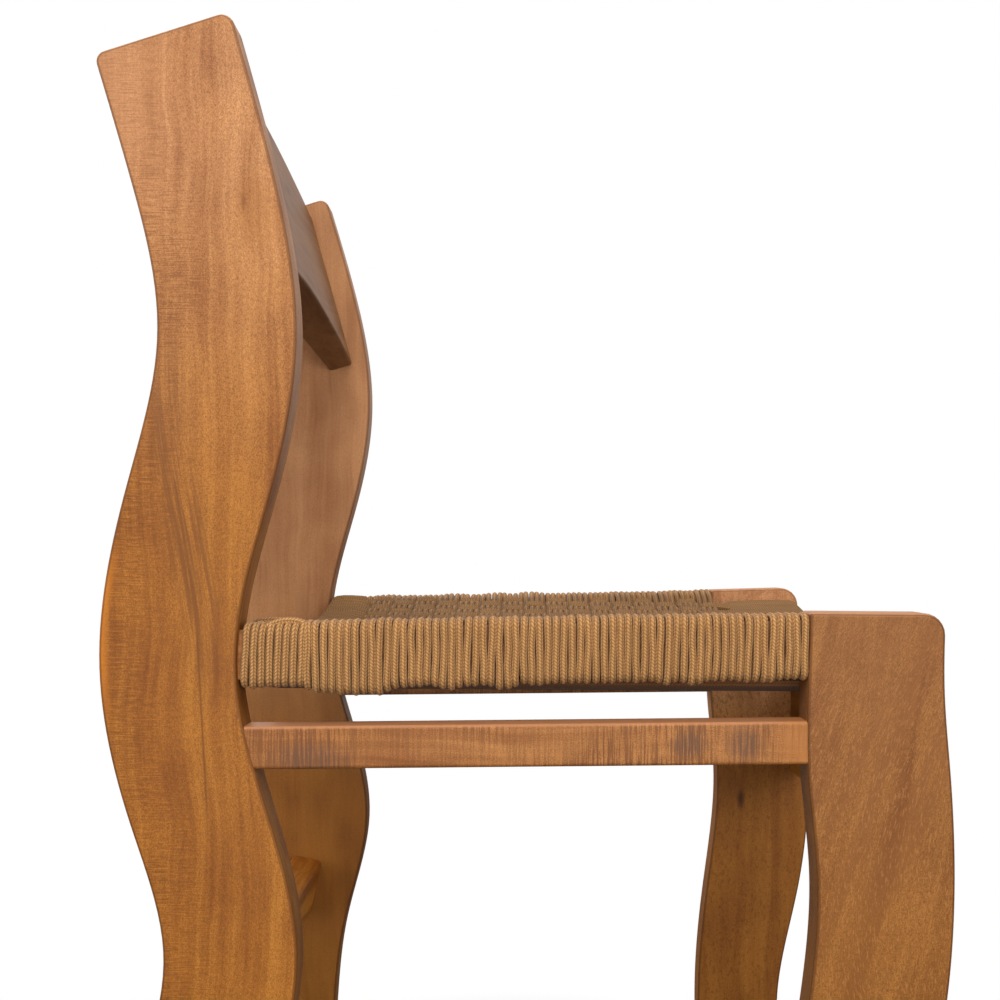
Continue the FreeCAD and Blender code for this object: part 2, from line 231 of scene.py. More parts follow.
# Shader writing
class Value:
    """A socket of a material, which can be used in sums."""

    def __init__(self, recipe, socket):
        self.recipe = recipe
        self.socket = socket

    def maths(self, operation, *others, clamp=False):
        inputs = dict(enumerate((self,) + others))
        settings = {"operation": operation, "use_clamp": clamp}
        return self.recipe.value("ShaderNodeMath", settings, inputs)

    def __add__(self, other):
        return self.maths("ADD", other)

    __radd__ = __add__

    def __sub__(self, other):
        return self.maths("SUBTRACT", other)

    def __rsub__(self, other):
        return self.recipe.value("ShaderNodeMath", {"operation": "SUBTRACT"}, {0: other, 1: self})

    def __mul__(self, other):
        return self.maths("MULTIPLY", other)

    def __truediv__(self, other):
        return self.maths("DIVIDE", other)

    def __pow__(self, other):
        return self.maths("POWER", other)

    def clamp(self):
        return self.maths("ADD", 0, clamp=True)

    def sine(self):
        return self.maths("SINE")

    def part(self):
        """What is left over a whole number."""
        return self.maths("FRACT")

    def size(self):
        return self.maths("ABSOLUTE")

    def step(self, low, high, bottom=0, top=1):
        """Goes smoothly from bottom to top while this goes from low to high."""
        settings = {"interpolation_type": "SMOOTHSTEP", "data_type": "FLOAT"}
        inputs = {0: self, 1: low, 2: high, 3: bottom, 4: top}
        return self.recipe.value("ShaderNodeMapRange", settings, inputs)

    def band(self, rise, fall, top=1):
        """Rises to top over one stretch of this and falls to nothing over another."""
        return self.step(*rise) * self.step(*fall, top, 0)


class Recipe:
    """The nodes of a material or of the world, and the means to write them."""

    def __init__(self, owner, output="ShaderNodeOutputMaterial"):
        owner.use_nodes = True
        self.owner = owner
        self.tree = owner.node_tree
        self.tree.nodes.clear()
        self.output = self.tree.nodes.new(output)

    def node(self, kind, settings=None, inputs=None):
        node = self.tree.nodes.new(kind)
        for name, value in (settings or {}).items():
            setattr(node, name, value)
        for key, value in (inputs or {}).items():
            if isinstance(value, Value):
                self.tree.links.new(value.socket, node.inputs[key])
            else:
                node.inputs[key].default_value = value
        return node

    def value(self, kind, settings=None, inputs=None, output=0):
        return Value(self, self.node(kind, settings, inputs).outputs[output])

    def place(self):
        """Object coordinates."""
        return self.value("ShaderNodeTexCoord", output="Object")

    def ray(self, kind):
        """Whether a ray is of a kind, such as Camera."""
        return self.value("ShaderNodeLightPath", output=f"Is {kind} Ray")

    def parts(self, vector):
        """Each of a vector's three numbers by itself."""
        split = self.node("ShaderNodeSeparateXYZ", inputs={0: vector})
        return [Value(self, split.outputs[i]) for i in range(3)]

    def joined(self, x, y, z):
        return self.value("ShaderNodeCombineXYZ", inputs={0: x, 1: y, 2: z})

    def noise(self, vector, scale=1, detail=2, roughness=0.5, distortion=0):
        inputs = {"Vector": vector, "Scale": scale, "Detail": detail, "Roughness": roughness,
                  "Distortion": distortion}
        return self.value("ShaderNodeTexNoise", inputs=inputs)

    def grain(self, vector, shift, scales, *settings):
        """Noise with a scale of its own along each of a vector's three ways."""
        inputs = {"Vector": vector, "Scale": scales, "Location": shift}
        return self.noise(self.value("ShaderNodeMapping", inputs=inputs), 1, *settings)

    def mix(self, factor, first, second, blend="MIX"):
        settings = {"data_type": "RGBA", "blend_type": blend}
        return self.value("ShaderNodeMix", settings, {0: factor, 6: first, 7: second}, output=2)

    def times(self, colour, shares):
        """A colour with each of its channels scaled."""
        return self.mix(1, colour, tuple(shares) + (1,), "MULTIPLY")

    def bump(self, height, distance, strength):
        inputs = {"Height": height, "Distance": distance, "Strength": strength}
        return self.value("ShaderNodeBump", inputs=inputs)

    def surface(self, shader):
        self.tree.links.new(shader.outputs[0], self.output.inputs["Surface"])
        return self.owner

    def blended(self, share, first, second):
        """Shows two shaders, the second of them by a share."""
        blend = self.node("ShaderNodeMixShader", inputs={0: share})
        self.tree.links.new(first.outputs[0], blend.inputs[1])
        self.tree.links.new(second.outputs[0], blend.inputs[2])
        return self.surface(blend)


def shown(tone):
    """A colour as the eye sees it on a screen, made linear."""
    def linear(channel):
        share = channel / 255
        return share / 12.92 if share <= 0.04045 else ((share + 0.055) / 1.055) ** 2.4
    return tuple(linear(channel) for channel in tone) + (1,)


def oval(x, z, middle, reach, fade):
    """An oval mark. It fades by how far a place lies from its middle, where 1 is its rim."""
    away = ((x - middle[0]) / reach[0]) ** 2 + ((z - middle[1]) / reach[1]) ** 2
    return (away ** 0.5).step(*fade)


# Wood. A pattern is its scales across the grain, in depth and along it, then the noise's detail,
# roughness and distortion. A step is the two levels between which it goes, and where from and to.
# A tint is what the wood's tone is scaled by in each channel.
SWAY = 0.03
SWAY_SCALES = (9, 7)
BROAD = ((40, 20, 3), 2, 0.5, 0.8)
CLOUDS = ((24, 18, 16), 2)
STREAKS = ((150, 90, 5.5), 3, 0.5, 0.6)
THREADS = ((520, 260, 14), 2)
MOTTLE = ((1750, 1500, 1200), 2, 0.6)
PORES = ((2600, 1800, 420), 1)
BROAD_PULL, CLOUD_PULL, STREAK_PULL, THREAD_PULL, MOTTLE_PULL = 2.8, 1.1, 2.4, 1.2, 2.4
GOLDEN_STEP = (0.4, 0.7, 0, 0.25)
PORE_STEP = (0.56, 0.72)
PORE_DEPTH = 0.5
DEEPER_TINT = (0.66, 0.54, 0.4)
PALER_TINT = (1.24, 1.3, 1.24)
GOLDEN_TINT = (1.1, 1.02, 0.72)
PORE_TINT = (0.34, 0.27, 0.2)
MOTTLE_TINTS = ((0.62, 0.57, 0.5, 1), (1.32, 1.37, 1.38, 1))
ARRIS_SHADE_TINT = (0.36, 0.3, 0.26)
ARRIS_SHADE_MOST = 0.6
WOOD_ROUGHNESS = (0.5, 0.2)
WOOD_BUMP = (0.0002, 0.5)
MOTTLE_RISE, STREAK_RISE, PORE_SINK = 0.5, 0.2, 0.8
RIPPLE_SINK, LINE_SINK, FLECK_LIFT = 0.5, 0.4, 0.2


class Wood:
    """The wood of one piece while its looks are written: its place, tone, colour and relief."""

    def __init__(self, name, along, seed, lean):
        self.recipe = Recipe(bpy.data.materials.new(name))
        self.place = x, y, z = self.recipe.parts(self.recipe.place())
        if along == "z":
            across, depth, length = x - z * lean, y, z
        elif along == "x":
            across, depth, length = z, y, x
        else:
            across, depth, length = z, x, y
        wander = self.recipe.joined(across * SWAY_SCALES[0], seed, length * SWAY_SCALES[1])
        sway = (self.recipe.noise(wander) - 0.5) * SWAY
        self.base = self.recipe.joined(across + sway, depth, length)
        self.shift = (seed * 1.7, seed * 3.1, seed * 0.9)

    def pattern(self, scales, *settings):
        return self.recipe.grain(self.base, self.shift, scales, *settings)

    def cover(self, share, colour):
        self.colour = self.recipe.mix(share, self.colour, colour)

    def mark(self, share, tint):
        """Lets the wood's tone show through by a share, scaled by a tint."""
        self.cover(share, self.recipe.times(self.tone, tint))


def wood(name, along, seed, wear_and_sheen=NO_WEAR_SHEEN, bands=1, fine=1, lean=0, board_and_shade=1, extra=None):
    """Oiled hardwood: soft bands and streaks along an axis, a fine mottle and short dark pores.

    The wear and sheen is the heights between which the worn tone, with its painted sheen, grows,
    and its most. The board and shade is how light the piece's own wood is beside the others, partly
    painted light and shade that evens out how the pieces are lit.
    """
    piece = Wood(name, along, seed, lean)
    recipe = piece.recipe
    broad, clouds, streaks, threads, mottle, pores = (
        piece.pattern(*pattern) for pattern in (BROAD, CLOUDS, STREAKS, THREADS, MOTTLE, PORES))
    # The worn tone also carries a painted sheen: lighter and greyer towards the top.
    worn_and_lit = piece.place[2].step(wear_and_sheen[0], wear_and_sheen[1], 0, wear_and_sheen[2])
    tone = recipe.mix(worn_and_lit, shown(WARM_WOOD), shown(WORN_SHEEN_WOOD))
    # Each piece's lightness is partly its own board and partly painted light and shade.
    piece.tone = tone = recipe.times(tone, (board_and_shade, board_and_shade, board_and_shade))
    share = ((broad - 0.5) * (BROAD_PULL * bands) + (clouds - 0.5) * CLOUD_PULL
             + (streaks - 0.5) * (STREAK_PULL * bands)
             + (threads - 0.5) * (THREAD_PULL * bands) + 0.5)
    piece.colour = recipe.mix(share.clamp(), recipe.times(tone, DEEPER_TINT),
                              recipe.times(tone, PALER_TINT))
    piece.mark(clouds.step(*GOLDEN_STEP), GOLDEN_TINT)
    speckle = (mottle - 0.5) * (MOTTLE_PULL * fine) + 0.5
    grain = recipe.mix(speckle.clamp(), *MOTTLE_TINTS)
    piece.colour = recipe.mix(1, piece.colour, grain, "MULTIPLY")
    dashes = (pores.step(*PORE_STEP) * (PORE_DEPTH * fine)).clamp()
    piece.mark(dashes, PORE_TINT)
    piece.relief = mottle * MOTTLE_RISE + streaks * STREAK_RISE - dashes * PORE_SINK
    if extra:
        extra(piece)
    # The rounded edges between the wide and narrow sides are darkened: painted shade.
    arris = recipe.value("ShaderNodeAttribute", {"attribute_name": "arris"}, output=2)
    piece.mark(arris * ARRIS_SHADE_MOST, ARRIS_SHADE_TINT)
    middle, swing = WOOD_ROUGHNESS
    return recipe.surface(recipe.node("ShaderNodeBsdfPrincipled", inputs={
        "Base Color": piece.colour, "Roughness": middle + (mottle - 0.5) * swing,
        "Specular IOR Level": 0.2, "Normal": recipe.bump(piece.relief, *WOOD_BUMP)}))


# The near rear leg's marks. Its back edge is nearly a wave (length, crest, swing, middle).
EDGE_WAVE = (0.407, 0.2185, 0.0191, -0.2515)
RIPPLE = ((80, 40, 1350), 2, 0.6, 0.3)
RIPPLE_REACH = (0.008, 0.05, 1, 0.14)
RIPPLE_PATCHES = ((22, 20, 26), 1)
RIPPLE_PATCH_STEP = (0.28, 0.62, 0.35, 1)
RIPPLE_LINE_STEP = (0.46, 0.66, 0, 0.7)
RIPPLE_GLINT_STEP = (0.52, 0.7, 0, 0.45)
RIPPLE_TINT = (0.5, 0.4, 0.3)
GLINT_TINT = (1.3, 1.34, 1.36)
# The dark bundle of streaks: where it lies at the top and how it bends forward further down
BUNDLE_PLACE = -0.2285
BUNDLE_BEND = (0.6, 0.4, 0, 0.026)
BUNDLE_WIDTH = (0.003, 0.02, 1, 0)
BUNDLE_ENDS = ((0.37, 0.46), (0.53, 0.68))
BUNDLE = ((560, 120, 14), 3)
BUNDLE_SHIFT = (4.1, 0.7, 2.2)
BUNDLE_STEP = (0.38, 0.62, 0.22, 0.88)
BUNDLE_TINT = (0.48, 0.42, 0.48)
# The thin dark hair near the seat: its place, the height there, its slope and its half width
HAIR_PLACE, HAIR_LEVEL, HAIR_SLOPE, HAIR_WIDTH = -0.203, 0.325, 0.055, 0.0012
HAIR_ENDS = ((0.3, 0.335), (0.42, 0.445), 0.75)
HAIR_TINT = (0.42, 0.36, 0.3)
# A painted grey sheen at the top, and the golden rim where the back edge bulges
SHEEN_RISE = (0.66, 0.8, 0, 0.45)
SHEEN_REACH = (0, 0.06, 1, 0)
RIM_REACH = (0.001, 0.007, 1, 0)
RIM_ENDS = ((0.36, 0.42), (0.46, 0.5), 0.7)
RIM_TINT = (1.7, 1.5, 0.8)
# The small knot and the warm patch about it: middle, reach and step
KNOT = ((-0.1795, 0.7035), (0.0022, 0.0052), (0.2, 1.3, 0.55, 0))
KNOT_PATCH = ((-0.172, 0.697), (0.02, 0.03), (0.2, 1.2, 0.28, 0))


def wavy_edge(z):
    """The near rear leg's back edge, near enough for the marks that follow it."""
    length, crest, swing, middle = EDGE_WAVE
    return ((z - crest) * (2 * pi / length) + pi / 2).sine() * swing + middle


def rear_leg_marks(leg):
    """Ripple near the back edge, a dark bundle of streaks at mid height and a small knot."""
    recipe = leg.recipe
    x, y, z = leg.place
    edge = x - wavy_edge(z)
    waves = leg.pattern(*RIPPLE)
    ripple = edge.step(*RIPPLE_REACH)
    patches = leg.pattern(*RIPPLE_PATCHES).step(*RIPPLE_PATCH_STEP)
    lines = (waves.step(*RIPPLE_LINE_STEP) * ripple * patches).clamp()
    leg.mark(lines, RIPPLE_TINT)
    leg.mark(((1 - waves).step(*RIPPLE_GLINT_STEP) * ripple).clamp(), GLINT_TINT)
    middle = z.step(*BUNDLE_BEND) + BUNDLE_PLACE
    bundle = (x - middle).size().step(*BUNDLE_WIDTH) * z.band(*BUNDLE_ENDS)
    thin = recipe.grain(recipe.joined(x - middle, y, z), BUNDLE_SHIFT, *BUNDLE)
    leg.mark((bundle * thin.step(*BUNDLE_STEP)).clamp(), BUNDLE_TINT)
    slanting = x - HAIR_PLACE + (z - HAIR_LEVEL) * HAIR_SLOPE
    hair = slanting.size().step(0, HAIR_WIDTH, 1, 0) * z.band(*HAIR_ENDS)
    leg.mark(hair, HAIR_TINT)
    # A painted grey sheen near the back edge at the top.
    leg.cover((z.step(*SHEEN_RISE) * edge.step(*SHEEN_REACH)).clamp(), shown(WORN_SHEEN_WOOD))
    leg.mark(edge.step(*RIM_REACH) * z.band(*RIM_ENDS), RIM_TINT)
    for mark, tone in ((KNOT, DEEP_WOOD), (KNOT_PATCH, WARM_WOOD)):
        leg.cover(oval(x, z, *mark), shown(tone))
    leg.relief = leg.relief - lines * RIPPLE_SINK


# The near front leg's marks: dark bands that lean, flecks that curve, and a painted highlight at
# the top
BAND_LEAN = 0.34
BANDS = ((58, 20, 6), 2, 0.5, 0.5)
BAND_SHIFT = (3.3, 1.2, 5.8)
BAND_STEP = (0.44, 0.72, 0, 0.6)
BAND_TINT = (0.76, 0.68, 0.62)
FLECK_LEAN, FLECK_CURVE, FLECK_LEVEL = 0.14, 1.5, 0.3
FLECKS = ((1300, 700, 260), 2)
FLECK_SHIFT = (1, 2, 3)
FLECK_STEP = (0.54, 0.68)
FLECK_RISE = (0.34, 0.44, 0.6, 0.3)
FLECK_TINT = (1.45, 1.6, 1.85)
TOP_HIGHLIGHT = (SEAT_HEIGHT - 0.003, SEAT_HEIGHT - 0.001, 0, 0.5)
TOP_HIGHLIGHT_TINT = (1.3, 1.35, 1.4)


def front_leg_marks(leg):
    """Darker slanting bands, fine pale flecks along the grain and a painted highlight at the top.
    """
    recipe = leg.recipe
    x, y, z = leg.place
    bands = recipe.grain(recipe.joined(x - z * BAND_LEAN, y, z), BAND_SHIFT, *BANDS)
    leg.mark(bands.step(*BAND_STEP), BAND_TINT)
    above = z - FLECK_LEVEL
    curved = recipe.joined(x - above * above * FLECK_CURVE - z * FLECK_LEAN, y, z)
    flecks = recipe.grain(curved, FLECK_SHIFT, *FLECKS)
    pale = (flecks.step(*FLECK_STEP) * z.step(*FLECK_RISE)).clamp()
    leg.mark(pale, FLECK_TINT)
    # A painted highlight along the top edge.
    leg.cover(z.step(*TOP_HIGHLIGHT), recipe.times(shown(WORN_SHEEN_WOOD), TOP_HIGHLIGHT_TINT))
    leg.relief = leg.relief + pale * FLECK_LIFT


# The far front leg's marks: a knot and the painted shadow about it (middle, reach, step), a painted
# band of light and specks
FAR_KNOT = ((0.2075, 0.252), (0.0042, 0.012), (0.1, 1.3, 0.85, 0))
FAR_KNOT_TINT = (0.1, 0.06, 0.04)
FAR_SHADOW = ((0.205, 0.285), (0.026, 0.04), (0.1, 1.3, 0.4, 0))
FAR_SHADOW_TINT = (0.42, 0.35, 0.26)
SHADOW_BREAKUP = ((60, 60, 40), 3, 0.5, 0.6)
SHADOW_BREAKUP_STEP = (0.32, 0.58, 0.2, 1)
LIT_BAND_ENDS = ((0.305, 0.335), (0.39, 0.42))
LIT_BAND_TINT = (1.45, 1.45, 1.35)
SPECKS = ((420, 400, 210), 2)
SPECK_STEP = (0.54, 0.68, 0, 0.5)
SPECK_TINT = (0.5, 0.4, 0.3)


def far_leg_marks(leg):
    """A dark knot below the seat, a painted shadow about it, and a painted band of light above it.
    """
    x, y, z = leg.place
    leg.mark(oval(x, z, *FAR_KNOT), FAR_KNOT_TINT)
    # A painted shadow about the knot, broken up by noise.
    shadow_breakup = leg.pattern(*SHADOW_BREAKUP).step(*SHADOW_BREAKUP_STEP)
    leg.mark(oval(x, z, *FAR_SHADOW) * shadow_breakup, FAR_SHADOW_TINT)
    # A painted band of light above the shadow.
    leg.cover(z.band(*LIT_BAND_ENDS), leg.recipe.times(leg.colour, LIT_BAND_TINT))
    leg.mark(leg.pattern(*SPECKS).step(*SPECK_STEP), SPECK_TINT)


# The side stretchers' marks: lines across the grain, grey patches (middle, reach), a painted
# highlight on the top arris with its slope, and a golden front end
LINES = ((34, 60, 900), 3, 0.7)
LINE_PATCHES = ((20, 20, 18), 1)
LINE_PATCH_STEP = (0.34, 0.6, 0.4, 1)
LINE_STEP = (0.43, 0.58, 0, 0.9)
LINE_TINT = (0.46, 0.38, 0.34)
LINE_GLINT_STEP = (0.58, 0.74, 0, 0.4)
LINE_GLINT_TINT = (1.35, 1.38, 1.35)
GREY_PATCHES = (((-0.136, 0.354), (0.028, 0.012)), ((0.102, 0.366), (0.013, 0.01)),
                ((0.137, 0.366), (0.012, 0.012)))
GREY_FADE = (0.3, 1.3, 1, 0)
GREY_STEP = (0.4, 0.58, 0.45, 1)
GREY_TINT = (0.38, 0.4, 0.62)
LIT_TOP_SLOPE = 0.0181
LIT_TOP = (0.3755, 0.3775, 0, 0.8)
LIT_TOP_TINT = (1.25, 1.2, 1.2)
FRONT_END = (0.15, 0.172, 0, 0.5)
FRONT_END_TINT = (1.12, 1.02, 0.72)


def stretcher_marks(bar):
    """Fine dark lines across the grain, three grey patches, and a painted highlight along the top.
    """
    x, y, z = bar.place
    waves = bar.pattern(*LINES)
    patches = bar.pattern(*LINE_PATCHES).step(*LINE_PATCH_STEP)
    lines = (waves.step(*LINE_STEP) * patches).clamp()
    bar.mark(lines, LINE_TINT)
    bar.mark(((1 - waves).step(*LINE_GLINT_STEP) * patches).clamp(), LINE_GLINT_TINT)
    for middle, reach in GREY_PATCHES:
        patch = oval(x, z, middle, reach, GREY_FADE) * waves.step(*GREY_STEP)
        bar.mark(patch.clamp(), GREY_TINT)
    # A painted highlight along the top arris.
    worn_and_lit = (z - x * LIT_TOP_SLOPE).step(*LIT_TOP)
    bar.cover(worn_and_lit, bar.recipe.times(shown(WORN_SHEEN_WOOD), LIT_TOP_TINT))
    bar.mark(x.step(*FRONT_END), FRONT_END_TINT)
    bar.relief = bar.relief - lines * LINE_SINK


# The cord's looks: the lean of its stitches, their roundness and the painted shade between them,
# and its fuzz and patches
STITCH_LEAN, STITCH_ROUND, STITCH_SWELL = 0.9, 0.6, 0.7
STITCH_BASE, STITCH_PULL = 0.1, 0.9
FUZZ_SCALE, PATCH_SCALE, BROAD_PATCH_SCALE = 1900, 9, 16
FUZZ_PULL, PATCH_PULL, BROAD_PATCH_PULL, FUZZ_RISE = 0.6, 1.1, 0.8, 0.25
PATCH_TINTS = ((0.74, 0.71, 0.64, 1), (1.12, 1.12, 1.12, 1))
# Below a height the cord is darkened by painted shade, and above it painted shade darkens the
# seat's top except next to its sides
UNDERSIDE_SHADE_STEP = (0.006, 0.75)
UNDERSIDE_SHADE_TINT = (0.85, 0.62, 0.45)
SHADED_TOP_SIDES = (0.19, 0.206, 1, 0)
SHADED_TOP_RISE = (0.004, 0.8)
SHADED_TOP_TINT = (0.46, 0.42, 0.33)
CORD_BUMP = (0.0004, 0.7)


def cord_finish(name, seed=0, below=0):
    """Braided cord: columns of slanted stitches that lean to the other side in each next column."""
    recipe = Recipe(bpy.data.materials.new(name))
    length, round_it, _ = recipe.parts(recipe.value("ShaderNodeUVMap", {"uv_map": "cord"}))
    column = round_it * COLUMNS
    inside = column.part()
    side = (column * 0.5).part().maths("GREATER_THAN", 0.5) * 2 - 1
    phase = length / STITCH + side * inside * STITCH_LEAN
    swell = (phase * (2 * pi)).sine() * 0.5 + 0.5
    stitches = (inside * pi).sine() ** STITCH_ROUND * (swell * STITCH_SWELL + (1 - STITCH_SWELL))
    place = recipe.place()
    _, y, z = recipe.parts(place)
    fuzz = recipe.noise(place, FUZZ_SCALE)
    patches = recipe.noise(recipe.joined(length * PATCH_SCALE, seed, 0))
    wide = recipe.noise(place, BROAD_PATCH_SCALE)
    # The stitches' crowns take the cord's colour, the grooves between them painted shade.
    shade = (stitches * STITCH_PULL + (fuzz - 0.5) * FUZZ_PULL + STITCH_BASE).clamp()
    colour = recipe.mix(shade, shown(CORD_SHADE), shown(CORD_LIGHT))
    warm = ((patches - 0.5) * PATCH_PULL + (wide - 0.5) * BROAD_PATCH_PULL + 0.5).clamp()
    colour = recipe.mix(1, colour, recipe.mix(warm, *PATCH_TINTS), "MULTIPLY")
    if below:
        # Below the seat the cord is darkened: painted shade.
        fade, most = UNDERSIDE_SHADE_STEP
        underside_shade = z.step(below - fade, below, most, 0)
        colour = recipe.mix(underside_shade, colour, recipe.times(shown(CORD_SHADE), UNDERSIDE_SHADE_TINT))
        # The seat's top is darkened except next to its sides: painted shade.
        rise, most = SHADED_TOP_RISE
        shaded_top = y.size().step(*SHADED_TOP_SIDES) * z.step(below, below + rise, 0, most)
        colour = recipe.mix(shaded_top, colour, recipe.times(colour, SHADED_TOP_TINT))
    return recipe.surface(recipe.node("ShaderNodeBsdfPrincipled", inputs={
        "Base Color": colour, "Roughness": 0.78, "Specular IOR Level": 0.25,
        "Sheen Weight": 0.05, "Sheen Roughness": 0.5,
        "Normal": recipe.bump(stitches + fuzz * FUZZ_RISE, *CORD_BUMP)}))


# Legs
PLANK_ROWS = 96
PLANK_ARRIS = 0.0018
CLEAR_OF_ROUND = 1.4
ARRIS_SLANTS = (0.25, 0.97)
ARRIS_UP = 0.4
LEG_WOODS = {
    "rear_leg_right": dict(seed=1.3, wear_and_sheen=(0.48, 0.78, 0.85), bands=0.65, extra=rear_leg_marks),
    "rear_leg_left": dict(seed=5.1, wear_and_sheen=(0.25, 0.45, 1), bands=0.3, fine=0.6, board_and_shade=0.95),
    "front_leg_right": dict(seed=9.4, wear_and_sheen=(0, 0.6, 0.35), bands=0.4, lean=0.22, board_and_shade=0.76,
                            extra=front_leg_marks),
    "front_leg_left": dict(seed=13.7, wear_and_sheen=(0.3, 0.36, 1), bands=0.4, fine=0.8, board_and_shade=1.15,
                           extra=far_leg_marks)}


def mark_arrises(piece):
    """Notes which faces are the rounded edges between a plank's wide and narrow sides."""
    layer = piece.data.attributes.new("arris", "FLOAT", "FACE")
    low, high = ARRIS_SLANTS
    for face in piece.data.polygons:
        slanted = low < abs(face.normal.y) < high and face.normal.z < ARRIS_UP
        layer.data[face.index].value = 1 if slanted else 0


def plank(front, back, side, rounds):
    """A plank between two edge lines, cut off at their tips, its top corners rounded."""
    bpy.ops.mesh.primitive_grid_add(x_subdivisions=1, y_subdivisions=PLANK_ROWS, size=1)
    piece = bpy.context.object
    lines = (smooth_line(back), smooth_line(front))
    tips = (back[-1][0], front[-1][0])
    clear = CLEAR_OF_ROUND * max(rounds)
    near = side * HALF_WIDTH if side < 0 else INNER
    for point in piece.data.vertices:
        edge = 1 if point.co.x > 0 else 0
        row = round((point.co.y + 0.5) * PLANK_ROWS)
        height = (tips[edge] if row == PLANK_ROWS
                  else (tips[edge] - clear) * row / (PLANK_ROWS - 1))
        point.co = (lines[edge](height), near, height)
    pull((0, PLANK, 0))
    outwards(piece)
    for line, radius in zip((front, back), rounds):
        if radius:
            round_edge(piece, line[-1], radius)
    soften(piece, PLANK_ARRIS)
    mark_arrises(piece)
    return piece


def make_legs():
    rear_edges = {"right": (REAR_FRONT, REAR_BACK), "left": (LEFT_REAR_FRONT, LEFT_REAR_BACK)}
    front_back = list(zip(FRONT_TURNS, BACK_EDGE))
    front_front = {"right": list(zip(FRONT_TURNS, FRONT_EDGE))}
    front_front["left"] = front_front["right"][:-1] + [LEFT_FRONT_CORNER]
    for word, side in (("right", -1), ("left", 1)):
        rear = [list(zip(REAR_TURNS, line)) + [tip]
                for line, tip in zip(rear_edges[word], REAR_TIPS[word])]
        front = (front_front[word], front_back)
        for name, lines, rounds in ((f"rear_leg_{word}", rear, REAR_TIP_ROUNDS),
                                    (f"front_leg_{word}", front, FRONT_TIP_ROUNDS)):
            piece = plank(lines[0], lines[1], side, rounds)
            finish = wood(name + "_wood", "z", **LEG_WOODS[name])
            finish_piece(piece, name + "_plank", "leg_wood", finish, name)


# Stretchers. The side ones lie below the side rails and rise to the front, let into the planks.
STRETCHER_SIZE = (0.025, 0.0275)
STRETCHER_HOUSING = 0.006
STRETCHER_DROP = 0.0611
STRETCHER_RISE = 0.0065
STRETCHER_ARRIS = 0.0026
# The cross ones: what kind of piece, its middle, size, lean in degrees and arris, then its wood's
# seed and lightness, partly the wood's own and partly painted light and shade
CROSS_STRETCHERS = {
    "rear_stretcher": ("_bar", (-0.209, 0, 0.167), (0.027, 2 * INNER, 0.05), 11, 0.0024,
                       31, 2),
    "front_stretcher": ("_board", (0.26, 0, 0.326), (0.014, 2 * INNER, 0.092), 0, 0.0016,
                        37, 1)}


def bar(middle, lean, size, arris):
    """A straight bar, turned about the axis across the chair, with softened edges."""
    bpy.ops.mesh.primitive_cube_add(size=1, location=middle, rotation=(0, lean, 0), scale=size)
    bpy.ops.object.transform_apply(location=True, rotation=True, scale=True)
    piece = bpy.context.object
    soften(piece, arris)
    return piece


def run_height(at_rear, rise, place):
    """The height, at a place along the chair's side, of what rises evenly from plank to plank."""
    return at_rear + rise * (place - RUN_REAR) / (RUN_FRONT - RUN_REAR)


def make_stretchers():
    thickness, height = STRETCHER_SIZE
    level = RAIL_TOP_REAR - STRETCHER_DROP - height / 2
    rear, front = RUN_REAR - STRETCHER_HOUSING, RUN_FRONT + STRETCHER_HOUSING
    low, high = (run_height(level, STRETCHER_RISE, end) for end in (rear, front))
    run = Vector((front - rear, 0, high - low))
    for word, side, seed in (("right", -1, 21), ("left", 1, 25)):
        middle = ((rear + front) / 2, side * (HALF_WIDTH - PLANK / 2), (low + high) / 2)
        piece = bar(middle, -atan2(run.z, run.x), (run.length, thickness, height),
                    STRETCHER_ARRIS)
        name = f"side_stretcher_{word}"
        finish = wood(name + "_wood", "x", seed, STRETCHER_WEAR_SHEEN, bands=0.5, extra=stretcher_marks)
        finish_piece(piece, name + "_bar", "stretcher_wood", finish, name)
    for node, (kind, middle, size, lean, arris, seed, board_and_shade) in CROSS_STRETCHERS.items():
        finish = wood(node + "_wood", "y", seed, board_and_shade=board_and_shade)
        piece = bar(middle, radians(lean), size, arris)
        finish_piece(piece, node + kind, "stretcher_wood", finish, node)


# Backrest, from the middle of its lower edge
BACK_PIVOT = (-0.1732, 0, 0.6552)
BACK_HEIGHT = 0.1426
BACK_END_THICKNESS = 0.0225
BACK_THICKNESS = 0.036
BACK_HOLLOW = 0.003
BACK_LOW_ARCH = 0.043
BACK_HIGH_ARCH = 0.042
BACK_LEAN = -15.9
BACK_COLUMNS, BACK_ROWS = 40, 8
BACK_ARRIS = 0.0026
BACK_SHARP = 50


def make_backrest():
    """A leaning board, hollowed a little in front and fuller behind, arched upwards."""
    fuller = BACK_HOLLOW + BACK_THICKNESS - BACK_END_THICKNESS
    bpy.ops.mesh.primitive_grid_add(x_subdivisions=BACK_COLUMNS, y_subdivisions=BACK_ROWS, size=1)
    piece = bpy.context.object
    for point in piece.data.vertices:
        across, up = 2 * point.co.x, point.co.y + 0.5
        bow = 1 - across ** 2
        low = BACK_LOW_ARCH * bow
        high = BACK_HEIGHT + BACK_HIGH_ARCH * bow
        point.co = (BACK_END_THICKNESS / 2 - BACK_HOLLOW * bow, across * INNER,
                    low + (high - low) * up)
    pull((-BACK_THICKNESS, 0, 0))
    lean = Matrix.Rotation(radians(BACK_LEAN), 3, "Y")
    for point in piece.data.vertices:
        if point.select:
            bow = 1 - (point.co.y / INNER) ** 2
            point.co.x = -BACK_END_THICKNESS / 2 - fuller * bow
        point.co = lean @ point.co + Vector(BACK_PIVOT)
    outwards(piece)
    soften(piece, BACK_ARRIS, BACK_SHARP)
    finish = wood("backrest_wood", "y", 43, BACK_WEAR_SHEEN, bands=0.5, fine=0.6, board_and_shade=0.52)
    finish_piece(piece, "backrest_board", "backrest_wood", finish, "backrest")


